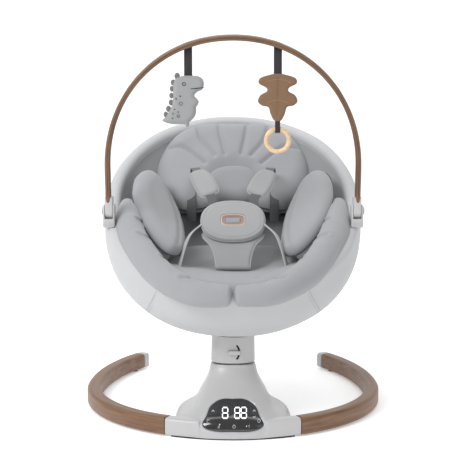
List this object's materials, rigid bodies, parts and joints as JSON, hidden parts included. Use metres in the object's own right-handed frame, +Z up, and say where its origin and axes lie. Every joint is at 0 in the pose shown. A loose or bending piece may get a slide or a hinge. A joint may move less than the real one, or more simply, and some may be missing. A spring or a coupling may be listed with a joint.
{
  "type": "baby swing",
  "caption": "Powered baby swing: padded fabric bowl seat on a swaying pillar, open wood-look base ring, arched toy bar with hanging toys and a belt with a buckle.",
  "frame": {"origin": "middle of the footprint, on the floor", "axes": "+Z up, -Y to the front where the panel is, +X to the right seen from the front"},
  "size_m": [0.5994, 0.5998, 0.7438],
  "materials": {
    "shell": "satin light grey",
    "wood": "brown with a wood look",
    "rubber": "matt black",
    "steel": "zinc plated",
    "panel": "gloss black",
    "board": "green",
    "motor": "grey can and gearbox",
    "nylon": "off-white",
    "cover": "light grey knit",
    "cushion": "grey knit",
    "webbing": "black webbing",
    "strap": "grey webbing",
    "plush": "grey plush",
    "leaf": "brown plush",
    "beech": "plain beech",
    "buckle": "brown-grey"
  },
  "bodies": {
    "base": {"left_base_arm": "wood", "right_base_arm": "wood", "left_arm_cap": "shell", "right_arm_cap": "shell", "left_arm_spigot": "steel", "right_arm_spigot": "steel", "rear_left_foot": "rubber", "rear_right_foot": "rubber", "front_foot_strip": "rubber", "front_housing": "shell", "rear_housing": "shell", "floor_plate": "shell", "power_inlet": "rubber", "touch_panel": "panel", "control_board": "board", "speaker": "rubber", "pivot_frame": "steel", "pivot_shaft": "steel", "gear_motor": "motor"},
    "crank": {"crank_disc": "nylon"},
    "neck": {"rocker_arm": "steel", "recline_pin": "steel", "neck_front_cover": "shell", "neck_rear_cover": "shell"},
    "lever": {"recline_lever": "shell"},
    "seat": {"seat_mount": "steel", "sling_cover": "cover", "hoop_tube": "steel", "left_side_bracket": "shell", "right_side_bracket": "shell", "left_cradle_tube": "steel", "right_cradle_tube": "steel", "seat_plate": "nylon", "seat_pad": "cushion", "back_pad": "cushion", "head_cushion": "cushion", "head_pillow": "cushion", "left_bolster": "cushion", "right_bolster": "cushion", "left_wing_cushion": "cushion", "right_wing_cushion": "cushion", "buckle_cover": "cushion", "buckle_body": "buckle", "crotch_pad": "cushion", "left_waist_strap": "strap", "right_waist_strap": "strap", "left_shoulder_pad": "cushion", "right_shoulder_pad": "cushion"},
    "buckle_release": {"buckle_button": "buckle"},
    "left_release": {"left_release_button": "shell"},
    "right_release": {"right_release_button": "shell"},
    "bar": {"toy_bar": "wood", "left_bar_foot": "shell", "right_bar_foot": "shell"},
    "dino": {"dino_strap": "webbing", "dino_toy": "plush"},
    "leaf": {"leaf_strap": "webbing", "leaf_toy": "leaf"},
    "ring": {"ring_strap": "webbing", "wooden_ring": "beech"}
  },
  "joints": [
    {"name": "sway", "type": "hinge", "parent": "base", "child": "neck", "pos_m": [0, -0.15, 0.042], "axis": [0, 1, 0], "range_deg": [-5, 5]},
    {"name": "crank_turn", "type": "hinge", "parent": "base", "child": "crank", "pos_m": [0, -0.15, 0.087], "axis": [0, 1, 0], "range_deg": [-90, 90]},
    {"name": "recline", "type": "hinge", "parent": "neck", "child": "seat", "pos_m": [0, -0.15, 0.143], "axis": [1, 0, 0], "range_deg": [-15, 0]},
    {"name": "lever_turn", "type": "hinge", "parent": "neck", "child": "lever", "pos_m": [-0.0066, -0.185, 0.14], "axis": [0, 1, 0], "range_deg": [-42, 42]},
    {"name": "toy_bar_tilt", "type": "hinge", "parent": "seat", "child": "bar", "pos_m": [0, -0.08, 0.4015], "axis": [1, 0, 0], "range_deg": [-30, 60]},
    {"name": "dino_swing", "type": "hinge", "parent": "bar", "child": "dino", "pos_m": [-0.0855, -0.12529, 0.72373], "axis": [1, 0, 0], "range_deg": [-10, 20]},
    {"name": "leaf_swing", "type": "hinge", "parent": "bar", "child": "leaf", "pos_m": [0.0855, -0.12529, 0.72373], "axis": [1, 0, 0], "range_deg": [-10, 20]},
    {"name": "ring_swing", "type": "hinge", "parent": "leaf", "child": "ring", "pos_m": [0.0855, -0.12529, 0.578], "axis": [1, 0, 0], "range_deg": [-25, 25]},
    {"name": "buckle_press", "type": "slide", "parent": "seat", "child": "buckle_release", "axis": [0, 0.8192, -0.5736], "range_m": [0, 0.003], "stiffness_N_per_m": 300, "springref_m": -0.001},
    {"name": "left_release_press", "type": "slide", "parent": "seat", "child": "left_release", "axis": [1, 0, 0], "range_m": [0, 0.0025], "stiffness_N_per_m": 400, "springref_m": -0.001},
    {"name": "right_release_press", "type": "slide", "parent": "seat", "child": "right_release", "axis": [-1, 0, 0], "range_m": [0, 0.0025], "stiffness_N_per_m": 400, "springref_m": -0.001}
  ],
  "couplings": [
    {"joint": "crank_turn", "follows": "sway", "ratio": 18}
  ]
}
